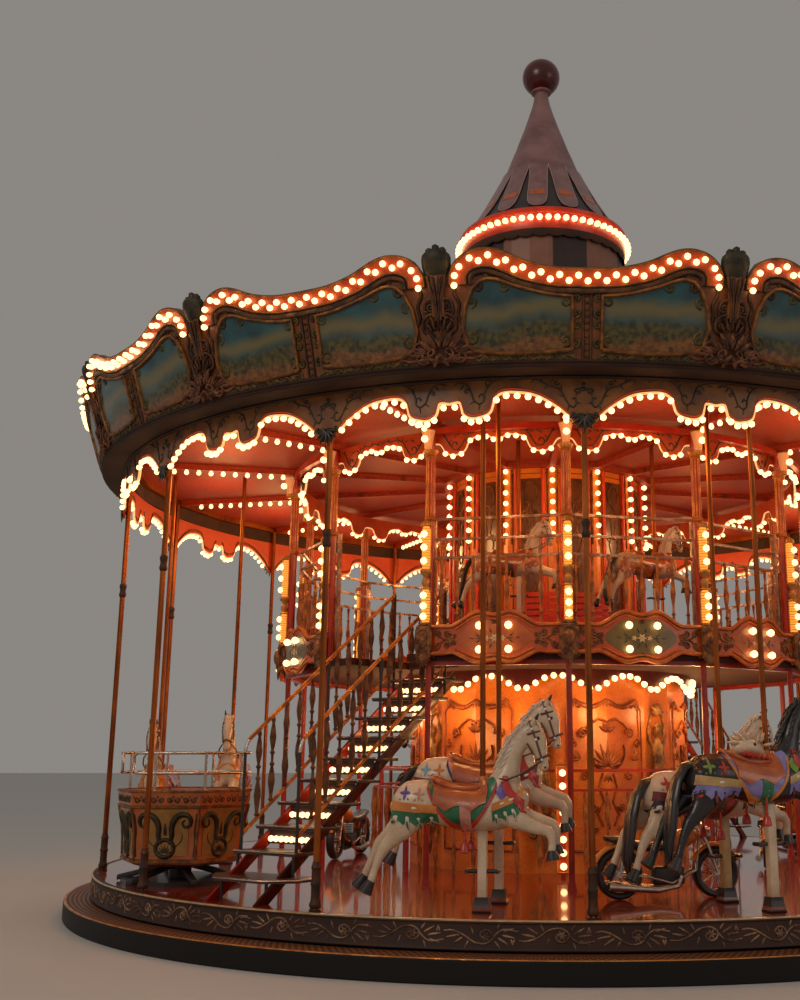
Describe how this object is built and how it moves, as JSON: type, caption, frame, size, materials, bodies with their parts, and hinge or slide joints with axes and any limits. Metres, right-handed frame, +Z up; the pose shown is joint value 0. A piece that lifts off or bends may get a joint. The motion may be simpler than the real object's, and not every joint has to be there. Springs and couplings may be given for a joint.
{
  "type": "double-deck fairground carousel",
  "caption": "Double-deck carousel: a turning platform with poles, an upper deck with two stairs, gallopers that rise and fall, a spinning tub, a crested canopy and a pointed cupola.",
  "frame": {"origin": "on the ground, on the vertical axis that the platform turns about", "axes": "+Z up; -Y through the outer pole nearest the picture's camera; +X to the right, through a crest finial"},
  "size_m": [10.8734, 10.6878, 10.5275],
  "materials": {
    "steel_black": "satin black paint with worn edges",
    "step_plate": "dark bronze paint over a raised tread pattern",
    "deck_boards": "glossy red-brown varnished boards",
    "rim_paint": "dark brown paint with gilt scrolls",
    "pole_gold": "gold-brown gloss",
    "ceiling_red": "red gloss boards",
    "carved_bronze": "dull gold paint on carved wood",
    "valance_olive": "olive and gold paint with cream edging",
    "roof_boards": "matte red",
    "cupola_pink": "matte dusty pink and grey-brown stripes",
    "spire_mauve": "matte mauve grey",
    "ball_red": "dark red gloss",
    "column_red": "red lacquer with gold flutes",
    "rail_brass": "tarnished brass",
    "floor_red": "dark red boards",
    "fascia_gold": "orange-gold paint on carved wood",
    "core_orange": "warm orange gloss panels",
    "stair_red": "dark red gloss",
    "tub_orange": "orange gloss with bronze ornaments",
    "chrome_rail": "polished",
    "horse_cream": "cream gloss paint",
    "horse_black": "black gloss paint",
    "bike_dark": "dark gloss with worn metal",
    "mirror_glass": "silvered",
    "bulb_glass": "warm white glowing bulb"
  },
  "bodies": {
    "base": {"step_ring": "step_plate", "base_frame": "steel_black"},
    "turntable": {"platform_deck": "deck_boards", "platform_rim": "rim_paint", "outer_poles_front": "pole_gold", "outer_poles_back": "pole_gold", "canopy_beams": "ceiling_red", "canopy_ceiling": "ceiling_red", "outer_valance": "valance_olive", "canopy_soffit": "carved_bronze", "crest": "carved_bronze", "roof_cone": "roof_boards", "inner_valance": "valance_olive", "cupola_drum": "cupola_pink", "cupola_ring": "ceiling_red", "spire": "spire_mauve", "spire_ball": "ball_red", "lower_posts_front": "steel_black", "lower_posts_back": "steel_black", "upper_columns_front": "column_red", "upper_columns_back": "column_red", "fascia_front": "fascia_gold", "fascia_back": "fascia_gold", "railing_front": "rail_brass", "railing_back": "rail_brass", "upper_floor": "floor_red", "lower_core": "core_orange", "core_apron": "carved_bronze", "upper_core": "core_orange", "core_railing": "rail_brass", "stair_front": "stair_red", "stair_back": "stair_red", "tub_turntable": "steel_black", "rear_tub": "tub_orange", "left_horse_outer": "horse_cream", "left_horse_inner": "horse_cream", "rear_horse_1": "horse_cream", "rear_horse_2": "horse_cream", "rear_horse_3": "horse_black", "rear_horse_4": "horse_cream", "right_horse_outer": "horse_cream", "right_horse_inner": "horse_cream", "upper_horse_1": "horse_cream", "upper_horse_2": "horse_cream", "upper_horse_3": "horse_cream", "upper_horse_4": "horse_cream", "motorbike_1": "bike_dark", "motorbike_2": "bike_dark", "motorbike_3": "bike_dark", "motorbike_4": "bike_dark"},
    "spinning_tub": {"tub": "tub_orange", "tub_rails": "chrome_rail"},
    "outer_white_galloper": {"white_horse_outer": "horse_cream"},
    "inner_white_galloper": {"white_horse_inner": "horse_cream"},
    "outer_black_galloper": {"black_horse_outer": "horse_black"},
    "inner_bow_galloper": {"bow_horse_inner": "horse_cream"}
  },
  "joints": [
    {"name": "turntable_spin", "type": "hinge", "parent": "base", "child": "turntable", "pos_m": [0, 0, 0.352], "axis": [0, 0, 1], "continuous": true},
    {"name": "tub_spin", "type": "hinge", "parent": "turntable", "child": "spinning_tub", "pos_m": [-3.66329, -2.115, 0.566], "axis": [0, 0, 1], "continuous": true},
    {"name": "white_horse_outer_travel", "type": "slide", "parent": "turntable", "child": "outer_white_galloper", "axis": [0, 0, 1], "range_m": [-0.05, 0.25]},
    {"name": "white_horse_inner_travel", "type": "slide", "parent": "turntable", "child": "inner_white_galloper", "axis": [0, 0, 1], "range_m": [-0.22, 0.08]},
    {"name": "black_horse_outer_travel", "type": "slide", "parent": "turntable", "child": "outer_black_galloper", "axis": [0, 0, 1], "range_m": [-0.25, 0.05]},
    {"name": "bow_horse_inner_travel", "type": "slide", "parent": "turntable", "child": "inner_bow_galloper", "axis": [0, 0, 1], "range_m": [-0.11, 0.19]}
  ]
}
